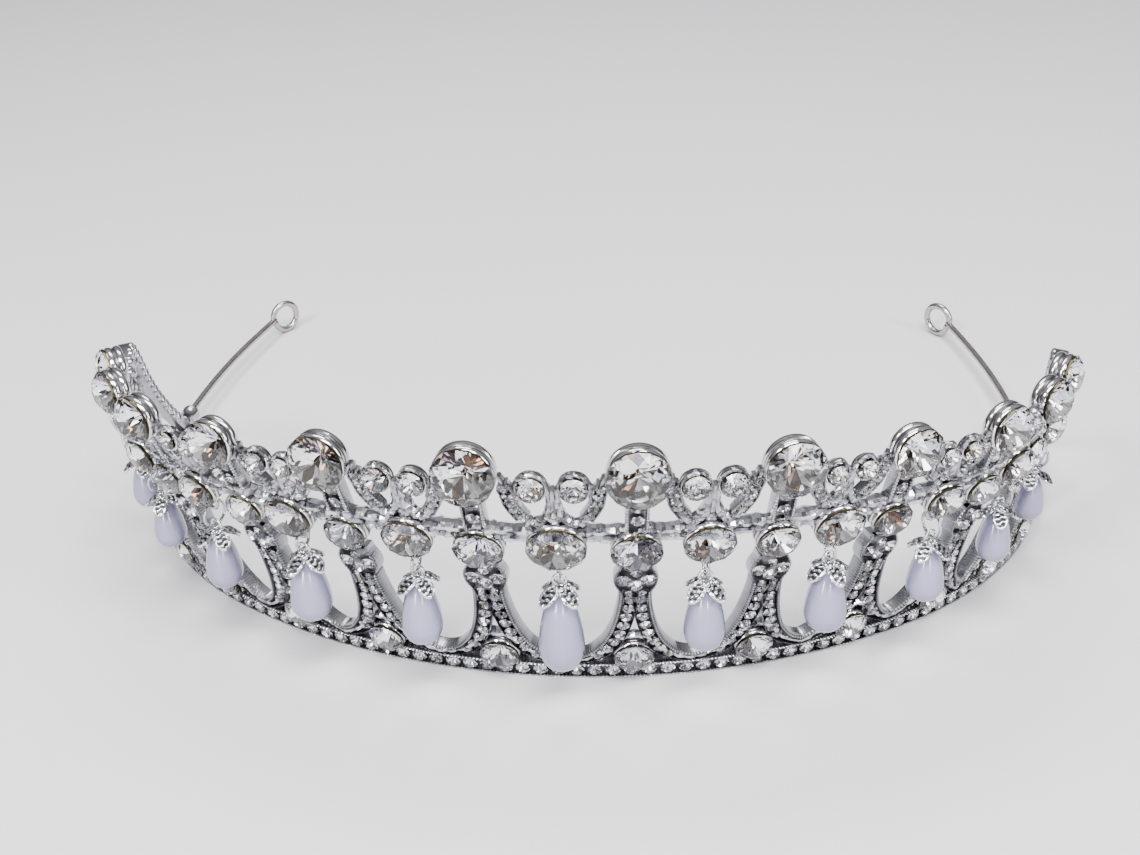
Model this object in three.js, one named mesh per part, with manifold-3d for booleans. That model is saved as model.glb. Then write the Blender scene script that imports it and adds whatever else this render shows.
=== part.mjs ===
// A tiara with eleven open bays, each with a pearl drop hanging in it, twelve columns
// that carry the large top stones, and a lover's knot over every bay.
// Millimetres, +Z up. The underside of the base band lies on z = 0, the middle of the
// front faces -Y, and the origin is below the middle of the front.
import * as THREE from 'three';
import { mergeVertices } from 'three/addons/utils/BufferGeometryUtils.js';
import Module from 'manifold-3d';

// Plan of the wall: a wide front arc, a tighter arc on each side, then straight wires.
const FRONT_RADIUS = 90;
const FRONT_TURN = THREE.MathUtils.degToRad(33);
const SIDE_RADIUS = 53;
const SIDE_TURN = THREE.MathUtils.degToRad(65);

// The wall leans outward at the front and stands upright at the ends.
const FRONT_FLARE = THREE.MathUtils.degToRad(18);
const END_FLARE = THREE.MathUtils.degToRad(2);
const FLARE_FADES_FROM = 44;
const FLARE_FADES_TO = 90;

// Heights above the table, and how fast the rows drop towards the ends.
const BASE_HEIGHT = 3.0;
const RAIL_HEIGHT = 29.7;
const RAIL_WIDTH = 2.8;
const RAIL_DROP = 0.06;
const BAY_STONE_BELOW_RAIL = 1.7;
const HEAD_STONE_BELOW_RAIL = 2.9;
const TOP_STONE_ABOVE_RAIL = 10.6;
const TOP_STONE_DROP = 0.28;
const FOOT_STONE_HEIGHT = 4.6;

// Metal sections: widths as seen from the front, and thicknesses through the wall.
const STATION_STEP = 7.5;
const BASE_THICKNESS = 2.6;
const RAIL_THICKNESS = 2.5;
const LEG_WIDTH = 1.4;
const LEG_THICKNESS = 2.1;
const NECK_THICKNESS = 2.3;
const STALK_WIDTH = 2.6;
const STALK_THICKNESS = 2.0;
const TIE_WIDTH = 1.5;
const END_POST_WIDTH = 1.8;

// Settings: a polished cup round each large stone.
const CUP_WALL = 0.45;
const CUP_DEPTH = 2.7;
const CUP_STANDS_OUT = 1.8;
const CUP_BACK_SHARE = 0.8;
const CUP_SINKS = 0.3;
const STONE_GAP = 0.2;
const CROWN_SHARE = 0.3;
const TABLE_SHARE = 0.56;
const STONE_SIDES = 8;
const ROUND_SIDES = 10;
const SET_STONE_DEPTH = 1.2;

// Knots over the bays.
const KNOT_STONE = 3.4;
const KNOT_STONE_BELOW_TOP = 2.2;
const KNOT_STONE_INSET = 0.9;
const KNOT_STANDS_OUT = 1.3;
const KNOT_CUP_DEPTH = 0.9;
const KNOT_WIDTH_SHARE = 0.62;
const KNOT_BAND = 1.15;
const KNOT_THICKNESS = 1.9;
const KNOT_SINKS = 0.4;
const TIE_RISE = 0.6;
const TIE_SINKS = 1.1;

// Drops: an eye under the bay stone, a jump ring, a leaf cap and a pearl.
const EYE_RADIUS = 0.95;
const EYE_WIRE = 0.6;
const EYE_SIDES = 6;
const EYE_WIRE_SIDES = 4;
const JUMP_WIRE = 0.56;
const CAP_WALL = 0.4;
const CAP_SHARE = 0.3;
const LEAF_REACH = 1.06;
const LEAF_NOTCH = 0.92;
const CAP_INSIDE_SHARE = 0.76;
const LEAF_COUNT = 4;
const SHOULDER_REACH = 0.66;
const SHOULDER_FALL = 0.2;
const PEARL_GAP = 0.25;
const PEARL_SIDES = 10;
const RING_WIRE_SIDES = 5;

// Ends: an open scroll from the last column down to a barrel that holds a spring wire.
const END_LENGTH = 33;
const END_POST_SHARE = 0.32;
const SCROLL_WIDTH = 2.0;
const SCROLL_THICKNESS = 2.2;
const WIRE_HEIGHT = 3.4;
const WIRE_DIAMETER = 1.2;
const WIRE_LENGTH = 42;
const LOOP_DIAMETER = 6.6;
const BARREL_LENGTH = 4.5;
const BARREL_WALL = 0.6;
const BARREL_GAP = 0.35;
const BARREL_INSIDE_WALL = 1.0;
const WIRE_STARTS_AFTER = 0.5;
const WIRE_SIDES = 6;
const WIRE_STEPS = 8;
const LOOP_SIDES = 14;
const LOOP_MEETS_WIRE = 0.95;

// Half of a pearl's outline, from its tip to its foot: shares of its radius and length.
const PEARL_OUTLINE = [
  { across: 0, up: 1 },
  { across: 0.34, up: 0.96 },
  { across: 0.7, up: 0.78 },
  { across: 0.97, up: 0.42 },
  { across: 0.97, up: 0.24 },
  { across: 0.6, up: 0.06 },
  { across: 0, up: 0 },
];

// One row for each bay, from the middle outwards.
const BAYS = [
  { name: 'centre', width: 17.6, stone: 7.2, pearl: 6.0, pearlLength: 12.0, ring: 3.2 },
  { name: '1', width: 15.9, stone: 6.3, pearl: 5.4, pearlLength: 9.4, ring: 3.6 },
  { name: '2', width: 13.9, stone: 6.3, pearl: 5.6, pearlLength: 9.4, ring: 3.4 },
  { name: '3', width: 13.4, stone: 5.4, pearl: 5.0, pearlLength: 8.2, ring: 4.2 },
  { name: '4', width: 11.3, stone: 5.4, pearl: 4.6, pearlLength: 7.4, ring: 4.2 },
  { name: '5', width: 11.2, stone: 5.4, pearl: 4.4, pearlLength: 7.0, ring: 4.2 },
];

// One row for each column, from the middle outwards.
const COLUMNS = [
  { top: 7.4, head: 6.2, foot: 5.2 },
  { top: 7.1, head: 5.4, foot: 5.0 },
  { top: 6.2, head: 5.2, foot: 4.6 },
  { top: 6.2, head: 5.0, foot: 4.4 },
  { top: 6.0, head: 4.6, foot: 4.2 },
  { top: 6.0, head: 4.4, foot: 4.0 },
];

// A column's neck: its width as a share of the head stone, and how high it is, as a share
// of the rail's height. Its two legs meet inside the neck: how far out each one lies, as a
// share of half the bay's width.
const NECK = [
  { wide: 0.62, up: 0.98 },
  { wide: 0.48, up: 0.54 },
];
const LEG = [
  { across: 0, up: 0.62 },
  { across: 0.13, up: 0.48 },
  { across: 0.27, up: 0.28 },
  { across: 0.7, up: 0.06 },
];

// Half of a knot's ribbon, from its middle outwards: how far across, as a share of a
// loop's radius, and how high, as a share of the loop's height.
const KNOT_DIP = [
  { across: 0, up: 1.0 },
  { across: 0.5, up: 0.04 },
  { across: 1.5, up: 0.04 },
  { across: 1.93, up: 0.88 },
];

// The end scroll: how far past the last column, as a share of the end's length, and how
// high, as a share of the rail's height.
const SCROLL = [
  { along: 0.04, up: 1.02 },
  { along: 0.26, up: 1.04 },
  { along: 0.38, up: 0.92 },
  { along: 0.54, up: 0.68 },
  { along: 0.75, up: 0.39 },
  { along: 0.97, up: 0.12 },
];

const wasm = await Module();
wasm.setup();

// The wall: s runs along its middle, h is the height and t the distance outward.
function planAt(s) {
  const side = Math.sign(s);
  const length = Math.abs(s);
  const frontLength = FRONT_RADIUS * FRONT_TURN;
  const sideLength = SIDE_RADIUS * SIDE_TURN;
  const onFront = Math.min(length, frontLength) / FRONT_RADIUS;
  const onSide = Math.min(Math.max(length - frontLength, 0), sideLength) / SIDE_RADIUS;
  const straight = Math.max(length - frontLength - sideLength, 0);
  const turn = onFront + onSide;
  const x = FRONT_RADIUS * Math.sin(onFront)
    + SIDE_RADIUS * (Math.sin(turn) - Math.sin(onFront)) + straight * Math.cos(turn);
  const y = FRONT_RADIUS * (1 - Math.cos(onFront))
    + SIDE_RADIUS * (Math.cos(onFront) - Math.cos(turn)) + straight * Math.sin(turn);
  return { x: side * x, y, turn: side * turn };
}

function flareAt(s) {
  const fade = THREE.MathUtils.smoothstep(Math.abs(s), FLARE_FADES_FROM, FLARE_FADES_TO);
  return THREE.MathUtils.lerp(FRONT_FLARE, END_FLARE, fade);
}

function outwardAt(s) {
  const { turn } = planAt(s);
  return new THREE.Vector3(Math.sin(turn), -Math.cos(turn), 0);
}

function alongAt(s) {
  const { turn } = planAt(s);
  return new THREE.Vector3(Math.cos(turn), Math.sin(turn), 0);
}

function onWall(s, h, t) {
  const { x, y } = planAt(s);
  return new THREE.Vector3(x, y, h).addScaledVector(outwardAt(s), t + h * Math.tan(flareAt(s)));
}

// A turned piece is set on the wall with its own Z axis outward and Y up. A lean of the
// wall's flare lays it in the wall, and a lean of 0 makes it face straight ahead.
function placeOnWall(geometry, s, h, t, lean) {
  const across = alongAt(s);
  const face = outwardAt(s).multiplyScalar(Math.cos(lean)).setZ(-Math.sin(lean));
  const up = new THREE.Vector3().crossVectors(face, across);
  const place = new THREE.Matrix4().makeBasis(across, up, face).setPosition(onWall(s, h, t));
  return geometry.applyMatrix4(place);
}

// Solids and closed meshes.
function closedGeometry(positions, triangles) {
  const geometry = new THREE.BufferGeometry();
  geometry.setAttribute('position', new THREE.Float32BufferAttribute(positions, 3));
  geometry.setIndex(triangles);
  return geometry;
}

function weldedGeometry(geometry) {
  geometry.deleteAttribute('normal');
  geometry.deleteAttribute('uv');
  return mergeVertices(geometry, 1e-4);
}

function toSolid(geometry) {
  const welded = weldedGeometry(geometry);
  return new wasm.Manifold(new wasm.Mesh({
    numProp: 3,
    vertProperties: Float32Array.from(welded.attributes.position.array),
    triVerts: Uint32Array.from(welded.index.array),
  }));
}

function toGeometry(solid) {
  const { vertProperties, triVerts } = solid.getMesh();
  return closedGeometry(Array.from(vertProperties), Array.from(triVerts));
}

function joinAll(geometries) {
  return geometries.map(toSolid).reduce((whole, piece) => whole.add(piece));
}

// A bar in the wall: stations are points (s, h) on its middle line, each with its width.
function barOnWall(stations, thickness) {
  const positions = [];
  stations.forEach((station, i) => {
    const before = stations[Math.max(i - 1, 0)];
    const after = stations[Math.min(i + 1, stations.length - 1)];
    const run = new THREE.Vector2(after.s - before.s, after.h - before.h).normalize();
    const half = station.width / 2;
    const left = { s: station.s - run.y * half, h: station.h + run.x * half };
    const right = { s: station.s + run.y * half, h: station.h - run.x * half };
    for (const [edge, t] of [[right, -1], [right, 1], [left, 1], [left, -1]]) {
      positions.push(...onWall(edge.s, Math.max(edge.h, 0), t * thickness / 2).toArray());
    }
  });
  return loftedGeometry(positions, 4);
}

// Joins equal rings of points, end to end, and closes both ends.
function loftedGeometry(positions, sides) {
  const rings = positions.length / 3 / sides;
  const triangles = [];
  for (let ring = 0; ring < rings - 1; ring += 1) {
    for (let side = 0; side < sides; side += 1) {
      const a = ring * sides + side;
      const b = ring * sides + (side + 1) % sides;
      triangles.push(a, a + sides, b, b, a + sides, b + sides);
    }
  }
  const last = (rings - 1) * sides;
  for (let side = 1; side < sides - 1; side += 1) {
    triangles.push(0, side, side + 1);
    triangles.push(last, last + side + 1, last + side);
  }
  return closedGeometry(positions, triangles);
}

// A turned solid about Z from its profile, [radius, height] from the bottom upwards.
function turned(profile, sides) {
  const points = profile.map(([radius, height]) => new THREE.Vector2(radius, height));
  const geometry = new THREE.LatheGeometry(points, sides);
  return geometry.rotateX(Math.PI / 2);
}

// A round ring about its own Z axis.
function roundRing(radius, wire, sides, wireSides) {
  const positions = [];
  const triangles = [];
  for (let i = 0; i < sides; i += 1) {
    const angle = 2 * Math.PI * i / sides;
    for (let j = 0; j < wireSides; j += 1) {
      const roll = 2 * Math.PI * j / wireSides;
      const reach = radius + wire / 2 * Math.cos(roll);
      positions.push(reach * Math.cos(angle), reach * Math.sin(angle), wire / 2 * Math.sin(roll));
      const a = i * wireSides + j;
      const b = i * wireSides + (j + 1) % wireSides;
      const next = (i + 1) % sides * wireSides;
      const c = next + j;
      const d = next + (j + 1) % wireSides;
      triangles.push(a, c, b, b, c, d);
    }
  }
  return closedGeometry(positions, triangles);
}

// A cut stone about Z: its widest edge, the girdle, on z = 0 and its flat table above.
function cutStone(diameter) {
  const radius = diameter / 2;
  return turned([
    [0, 0],
    [radius, 0],
    [TABLE_SHARE * radius, CROWN_SHARE * radius],
    [0, CROWN_SHARE * radius],
  ], STONE_SIDES);
}

// The tapered cup that carries a large stone, its seat just under the girdle.
function stoneCup(diameter) {
  const rim = diameter / 2 + CUP_WALL;
  return turned([
    [0, -CUP_DEPTH],
    [CUP_BACK_SHARE * rim, -CUP_DEPTH],
    [rim, -STONE_GAP],
    [0, -STONE_GAP],
  ], STONE_SIDES);
}

// How far a cup's corner lies from its axis, halfway down: one points up and one down.
function cupReach(diameter) {
  const rim = diameter / 2 + CUP_WALL;
  return rim * (1 + CUP_BACK_SHARE) / 2;
}

// A smaller stone and its setting as one piece.
function setStone(diameter, depth) {
  const radius = diameter / 2;
  return turned([
    [0, -depth],
    [radius + CUP_WALL, -depth],
    [TABLE_SHARE * radius, CROWN_SHARE * radius],
    [0, CROWN_SHARE * radius],
  ], STONE_SIDES);
}

// Places along the wall. Bay 0 is the middle one, and column 1 stands beside it.
function columnPlace(number) {
  const rows = BAYS.slice(1, number);
  return rows.reduce((place, bay) => place + bay.width, BAYS[0].width / 2);
}

function bayPlace(number) {
  return number === 0 ? 0 : columnPlace(number) + BAYS[number].width / 2;
}

function railHeight(s) {
  const bays = Math.abs(s) / BAYS[1].width;
  return RAIL_HEIGHT - RAIL_DROP * bays * bays;
}

function topStoneHeight(number) {
  return RAIL_HEIGHT + TOP_STONE_ABOVE_RAIL - TOP_STONE_DROP * (number - 0.5) ** 2;
}

const LAST_COLUMN = columnPlace(COLUMNS.length);
const WALL_END = LAST_COLUMN + END_LENGTH;
const SIDES = [['left', -1], ['right', 1]];

// A straight run of stations along the wall, one every few millimetres.
function levelBar(from, to, heightAt, width, thickness) {
  const steps = Math.max(1, Math.round(Math.abs(to - from) / STATION_STEP));
  const stations = [];
  for (let i = 0; i <= steps; i += 1) {
    const s = from + (to - from) * i / steps;
    stations.push({ s, h: heightAt(s), width });
  }
  return barOnWall(stations, thickness);
}

function uprightBar(s, from, to, width, thickness) {
  return barOnWall([{ s, h: from, width }, { s, h: to, width }], thickness);
}

function column(number, side) {
  const row = COLUMNS[number - 1];
  const s = side * columnPlace(number);
  const rail = railHeight(s);
  const outerBay = BAYS[Math.min(number, BAYS.length - 1)];
  const pieces = [];
  const neck = NECK.map(({ wide, up }) => ({ s, h: up * rail, width: wide * row.head }));
  pieces.push(barOnWall(neck, NECK_THICKNESS));
  const legs = [];
  for (const [direction, bay] of [[-side, BAYS[number - 1]], [side, outerBay]]) {
    const leg = LEG.map(({ across, up }) => ({
      s: s + direction * across * bay.width / 2, h: up * rail, width: LEG_WIDTH,
    }));
    legs.push(...(direction === -side ? leg.reverse() : leg.slice(1)));
  }
  pieces.push(barOnWall(legs, LEG_THICKNESS));
  const stalkTop = topStoneHeight(number) - cupReach(row.top) + CUP_SINKS;
  pieces.push(uprightBar(s, rail, stalkTop, STALK_WIDTH, STALK_THICKNESS));
  const flare = flareAt(s);
  const headHeight = rail - HEAD_STONE_BELOW_RAIL;
  const head = setStone(row.head, SET_STONE_DEPTH);
  const foot = setStone(row.foot, SET_STONE_DEPTH);
  pieces.push(placeOnWall(head, s, headHeight, CUP_STANDS_OUT, flare));
  pieces.push(placeOnWall(foot, s, FOOT_STONE_HEIGHT, CUP_STANDS_OUT, flare));
  pieces.push(placeOnWall(stoneCup(row.top), s, topStoneHeight(number), CUP_STANDS_OUT, 0));
  return pieces;
}

// A ribbon tied between two top stones: it dips into two loops that stand on the rail
// and meet between them, and a stone is set in the top of each loop.
function knot(number, side) {
  const bay = BAYS[number];
  const s = side * bayPlace(number);
  const bottom = railHeight(s) + (RAIL_WIDTH + KNOT_BAND) / 2 - KNOT_SINKS;
  const stoneHeight = topStoneHeight(number + 0.5) - KNOT_STONE_BELOW_TOP;
  const loop = KNOT_WIDTH_SHARE * bay.width / 4 - KNOT_BAND / 2;
  const depth = stoneHeight - bottom;
  const dip = KNOT_DIP.map(({ across, up }) => ({
    s: across * loop, h: bottom + up * depth, width: KNOT_BAND,
  }));
  const stations = [];
  for (const direction of [-1, 1]) {
    const nearest = direction * side < 0 ? number : number + 1;
    const cup = COLUMNS[Math.min(Math.max(nearest, 1), COLUMNS.length) - 1].top;
    const tie = bay.width / 2 - cupReach(cup) + TIE_SINKS;
    const half = [...dip, { s: tie, h: stoneHeight + TIE_RISE, width: TIE_WIDTH }];
    const placed = half.map((station) => ({ ...station, s: s + direction * station.s }));
    stations.push(...(direction < 0 ? placed.reverse() : placed.slice(1)));
  }
  const pieces = [barOnWall(stations, KNOT_THICKNESS)];
  const size = Math.min(KNOT_STONE, 2 * loop - KNOT_STONE_INSET);
  for (const direction of [-1, 1]) {
    const middle = s + direction * loop;
    pieces.push(placeOnWall(setStone(size, KNOT_CUP_DEPTH), middle, stoneHeight, KNOT_STANDS_OUT, 0));
  }
  return pieces;
}

function bayStoneHeight(s) {
  return railHeight(s) - BAY_STONE_BELOW_RAIL;
}

// The eye hangs straight below the cup of the bay stone, in the middle of the wall.
function eyeCentre(number, side) {
  const s = side * bayPlace(number);
  const flare = flareAt(s);
  const drop = cupReach(BAYS[number].stone) - CUP_SINKS + EYE_RADIUS;
  const centre = onWall(s, bayStoneHeight(s), CUP_STANDS_OUT);
  centre.addScaledVector(outwardAt(s), -CUP_DEPTH / 2 - drop * Math.sin(flare));
  centre.z -= drop * Math.cos(flare) - CUP_DEPTH / 2 * Math.sin(flare);
  return centre;
}

function eye(number, side) {
  const s = side * bayPlace(number);
  const ring = roundRing(EYE_RADIUS, EYE_WIRE, EYE_SIDES, EYE_WIRE_SIDES);
  const place = new THREE.Matrix4().makeBasis(
    alongAt(s), new THREE.Vector3(0, 0, 1), outwardAt(s),
  ).setPosition(eyeCentre(number, side));
  return ring.applyMatrix4(place);
}

// The scroll that closes the wall past the last column, with its post and its barrel.
function wallEnd(side) {
  const rail = railHeight(LAST_COLUMN);
  const stations = SCROLL.map(({ along, up }) => ({
    s: side * (LAST_COLUMN + along * END_LENGTH), h: up * rail, width: SCROLL_WIDTH,
  }));
  const post = side * (LAST_COLUMN + END_POST_SHARE * END_LENGTH);
  const bore = WIRE_DIAMETER / 2 + BARREL_GAP;
  const barrel = turned([
    [bore, 0],
    [bore + BARREL_WALL, 0],
    [bore + BARREL_WALL, BARREL_LENGTH],
    [bore, BARREL_LENGTH],
    [bore, 0],
  ], WIRE_SIDES);
  const end = side * WALL_END;
  const face = alongAt(end).multiplyScalar(side);
  const up = new THREE.Vector3(0, 0, 1);
  const across = new THREE.Vector3().crossVectors(up, face);
  const place = new THREE.Matrix4().makeBasis(across, up, face);
  place.setPosition(onWall(end, 0, 0).setZ(WIRE_HEIGHT).addScaledVector(face, -BARREL_INSIDE_WALL));
  return [
    barOnWall(stations, SCROLL_THICKNESS),
    uprightBar(post, BASE_HEIGHT / 2, rail, END_POST_WIDTH, STALK_THICKNESS),
    barrel.applyMatrix4(place),
  ];
}

function frameSolid() {
  const pieces = [];
  pieces.push(levelBar(-WALL_END, WALL_END, () => BASE_HEIGHT / 2, BASE_HEIGHT, BASE_THICKNESS));
  const railEnd = LAST_COLUMN + END_POST_SHARE * END_LENGTH;
  pieces.push(levelBar(-railEnd, railEnd, railHeight, RAIL_WIDTH, RAIL_THICKNESS));
  for (const [, side] of SIDES) {
    for (let number = 1; number <= COLUMNS.length; number += 1) {
      pieces.push(...column(number, side));
    }
    pieces.push(...wallEnd(side));
  }
  for (const { number, side } of bayList()) {
    pieces.push(...knot(number, side));
    const s = side * bayPlace(number);
    const cup = stoneCup(BAYS[number].stone);
    pieces.push(placeOnWall(cup, s, bayStoneHeight(s), CUP_STANDS_OUT, flareAt(s)));
    pieces.push(eye(number, side));
  }
  return joinAll(pieces);
}

function bayList() {
  const list = [{ label: 'centre', number: 0, side: 1 }];
  for (const [word, side] of SIDES) {
    for (let number = 1; number < BAYS.length; number += 1) {
      list.push({ label: `${word}_${number}`, number, side });
    }
  }
  return list;
}

// The drops.
function jumpRing(number, side) {
  const s = side * bayPlace(number);
  const radius = (BAYS[number].ring - JUMP_WIRE) / 2;
  const centre = eyeCentre(number, side);
  centre.z -= radius;
  const place = new THREE.Matrix4().makeBasis(
    outwardAt(s), new THREE.Vector3(0, 0, 1), alongAt(s).negate(),
  ).setPosition(centre);
  return roundRing(radius, JUMP_WIRE, ROUND_SIDES, RING_WIRE_SIDES).applyMatrix4(place);
}

// Four leaves that droop over the pearl, round a dome with an eye on top.
function leafCap(number, side) {
  const bay = BAYS[number];
  const s = side * bayPlace(number);
  const inner = bay.pearl / 2 * CAP_INSIDE_SHARE + PEARL_GAP;
  const depth = CAP_SHARE * bay.pearlLength;
  const points = 2 * LEAF_COUNT;
  const shells = [0, CAP_WALL].map((wall) => {
    const shell = [[0, 0, wall]];
    for (const edge of [false, true]) {
      for (let i = 0; i < points; i += 1) {
        const angle = 2 * Math.PI * i / points;
        const leaf = i % 2 === 0 ? LEAF_REACH : LEAF_NOTCH;
        const reach = edge ? leaf : SHOULDER_REACH;
        const fall = edge ? leaf : SHOULDER_FALL;
        const lift = edge ? 0 : wall * (1 - SHOULDER_FALL);
        const radius = (inner + wall) * reach;
        shell.push([radius * Math.cos(angle), radius * Math.sin(angle), lift - depth * fall]);
      }
    }
    return shell;
  });
  const positions = shells.flat(2);
  const triangles = [];
  const outer = shells[0].length;
  for (let i = 0; i < points; i += 1) {
    const a = 1 + i;
    const b = 1 + (i + 1) % points;
    const c = a + points;
    const d = b + points;
    triangles.push(0, b, a, a, b, c, b, d, c);
    triangles.push(outer, outer + a, outer + b);
    triangles.push(outer + a, outer + c, outer + b, outer + b, outer + c, outer + d);
    triangles.push(c, d, outer + c, d, outer + d, outer + c);
  }
  const dome = closedGeometry(positions, triangles);
  const capEye = roundRing(EYE_RADIUS, EYE_WIRE, EYE_SIDES, EYE_WIRE_SIDES);
  capEye.rotateX(Math.PI / 2).translate(0, 0, CAP_WALL + EYE_RADIUS);
  const solid = toSolid(dome).add(toSolid(capEye));
  const turn = new THREE.Matrix4().makeBasis(
    alongAt(s), outwardAt(s).negate(), new THREE.Vector3(0, 0, 1),
  ).setPosition(capTop(number, side));
  return toGeometry(solid).applyMatrix4(turn);
}

function capTop(number, side) {
  const centre = eyeCentre(number, side);
  centre.z -= BAYS[number].ring - JUMP_WIRE + EYE_RADIUS + CAP_WALL;
  return centre;
}

function pearl(number, side) {
  const bay = BAYS[number];
  const radius = bay.pearl / 2;
  const points = PEARL_OUTLINE.map(({ across, up }) => (
    [across * radius, (up - 1) * bay.pearlLength]));
  const drop = turned(points.reverse(), PEARL_SIDES);
  const place = capTop(number, side);
  return drop.translate(place.x, place.y, place.z - PEARL_GAP);
}

// The spring wire: straight out of the barrel, with a loop bent at its end.
function endWire(side) {
  const start = side * WALL_END;
  const from = onWall(start, 0, 0).setZ(WIRE_HEIGHT);
  const positions = [];
  const up = new THREE.Vector3(0, 0, 1);
  for (let i = 0; i <= WIRE_STEPS; i += 1) {
    const run = (WIRE_LENGTH - WIRE_STARTS_AFTER) * i / WIRE_STEPS;
    const s = start + side * (WIRE_STARTS_AFTER + run);
    const point = onWall(s, 0, 0).setZ(WIRE_HEIGHT);
    const across = outwardAt(s);
    for (let j = 0; j < WIRE_SIDES; j += 1) {
      const roll = side * 2 * Math.PI * j / WIRE_SIDES;
      positions.push(...point.clone()
        .addScaledVector(across, WIRE_DIAMETER / 2 * Math.cos(roll))
        .addScaledVector(up, WIRE_DIAMETER / 2 * Math.sin(roll)).toArray());
    }
  }
  const radius = (LOOP_DIAMETER - WIRE_DIAMETER) / 2;
  const end = start + side * WIRE_LENGTH;
  const loop = roundRing(radius, WIRE_DIAMETER, LOOP_SIDES, WIRE_SIDES);
  const centre = onWall(end, 0, 0).setZ(WIRE_HEIGHT);
  centre.addScaledVector(alongAt(end), side * radius * LOOP_MEETS_WIRE);
  const place = new THREE.Matrix4().makeBasis(
    alongAt(end), up, new THREE.Vector3().crossVectors(alongAt(end), up),
  ).setPosition(centre);
  return toSolid(loftedGeometry(positions, WIRE_SIDES)).add(toSolid(loop.applyMatrix4(place)));
}

// Materials and the finished group.
function material(colour, roughness, metalness) {
  return new THREE.MeshStandardMaterial({ color: colour, roughness, metalness });
}

const tiara = new THREE.Group();

function addPiece(name, geometry, finish) {
  const mesh = new THREE.Mesh(weldedGeometry(geometry), finish);
  mesh.name = name;
  tiara.add(mesh);
}

addPiece('frame', toGeometry(frameSolid()), material(0xc9cbd0, 0.25, 1));

for (const [word, side] of SIDES) {
  for (let number = 1; number <= COLUMNS.length; number += 1) {
    const s = side * columnPlace(number);
    const stone = cutStone(COLUMNS[number - 1].top);
    placeOnWall(stone, s, topStoneHeight(number), CUP_STANDS_OUT, 0);
    addPiece(`top_stone_${word}_${number}`, stone, material(0xf4f6fa, 0.05, 0));
  }
  addPiece(`end_wire_${word}`, toGeometry(endWire(side)), material(0xb9babd, 0.3, 1));
}

for (const { label, number, side } of bayList()) {
  const s = side * bayPlace(number);
  const stone = cutStone(BAYS[number].stone);
  placeOnWall(stone, s, bayStoneHeight(s), CUP_STANDS_OUT, flareAt(s));
  addPiece(`bay_stone_${label}`, stone, material(0xf4f6fa, 0.05, 0));
  addPiece(`jump_ring_${label}`, jumpRing(number, side), material(0xc9cbd0, 0.25, 1));
  addPiece(`leaf_cap_${label}`, leafCap(number, side), material(0xbfc1c6, 0.4, 1));
  addPiece(`pearl_${label}`, pearl(number, side), material(0xe9e6ef, 0.35, 0));
}

export default tiara;
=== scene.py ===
import math

import bpy
import numpy as np
from mathutils import Matrix, Vector


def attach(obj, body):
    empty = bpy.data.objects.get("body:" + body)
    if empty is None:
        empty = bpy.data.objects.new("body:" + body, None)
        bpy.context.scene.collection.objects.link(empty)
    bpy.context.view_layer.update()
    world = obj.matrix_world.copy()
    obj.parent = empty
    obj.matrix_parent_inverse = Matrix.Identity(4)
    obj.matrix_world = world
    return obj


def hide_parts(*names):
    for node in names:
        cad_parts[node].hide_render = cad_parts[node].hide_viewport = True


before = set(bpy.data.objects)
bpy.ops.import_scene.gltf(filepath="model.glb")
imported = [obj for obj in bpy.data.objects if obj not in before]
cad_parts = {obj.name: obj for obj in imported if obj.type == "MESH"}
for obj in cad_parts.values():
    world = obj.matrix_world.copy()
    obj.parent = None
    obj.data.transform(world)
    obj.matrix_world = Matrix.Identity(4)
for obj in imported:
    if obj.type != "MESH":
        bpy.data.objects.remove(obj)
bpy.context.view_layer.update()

# The base band and the U-shaped edges of the bays.
# In the real piece this is one casting in white-plated alloy: a strip bent to the head, with a beaded rim
# above and below a row of small stones. Painted shade darkens its recesses.
MM = 0.001
FRONT_RADIUS = 90.0
FRONT_TURN = math.radians(33)
SIDE_RADIUS = 53.0
SIDE_TURN = math.radians(65)
FRONT_FLARE = math.radians(18)
END_FLARE = math.radians(2)
FLARE_FADES = (44.0, 90.0)

BAY_WIDTHS = np.array([17.6, 15.9, 13.9, 13.4, 11.3, 11.2])
COLUMN_PLACES = np.cumsum(BAY_WIDTHS) - BAY_WIDTHS[0] / 2
BAY_PLACES = np.concatenate([[0.0], COLUMN_PLACES[:-1] + BAY_WIDTHS[1:] / 2])
WALL_END = COLUMN_PLACES[-1] + 33.0
RAIL_HEIGHT = 29.7
RAIL_DROP = 0.06 / 15.9 ** 2

BAND_HEIGHT = 3.0
BEAD_PITCH = 0.5
BEAD_STEP = 0.13
UP = np.array([0.0, 0.0, 1.0])


def smooth_step(low, high, value):
    """0 below low, 1 above high, and 3x^2 - 2x^3 of the share x in between."""
    share = np.clip((value - low) / (high - low), 0, 1)
    return share * share * (3 - 2 * share)


def plan(s):
    """Place and turn on the plan at length s: an arc of 90 mm, then one of 53 mm, then straight."""
    side = np.where(s < 0, -1.0, 1.0)
    length = np.abs(s)
    front = np.minimum(length, FRONT_RADIUS * FRONT_TURN) / FRONT_RADIUS
    rest = length - FRONT_RADIUS * FRONT_TURN
    turn = front + np.clip(rest, 0, SIDE_RADIUS * SIDE_TURN) / SIDE_RADIUS
    straight = np.maximum(rest - SIDE_RADIUS * SIDE_TURN, 0)
    x = FRONT_RADIUS * np.sin(front) + SIDE_RADIUS * (np.sin(turn) - np.sin(front))
    y = FRONT_RADIUS * (1 - np.cos(front)) + SIDE_RADIUS * (np.cos(front) - np.cos(turn))
    x = x + straight * np.cos(turn)
    y = y + straight * np.sin(turn)
    return side * x, y, side * turn


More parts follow.
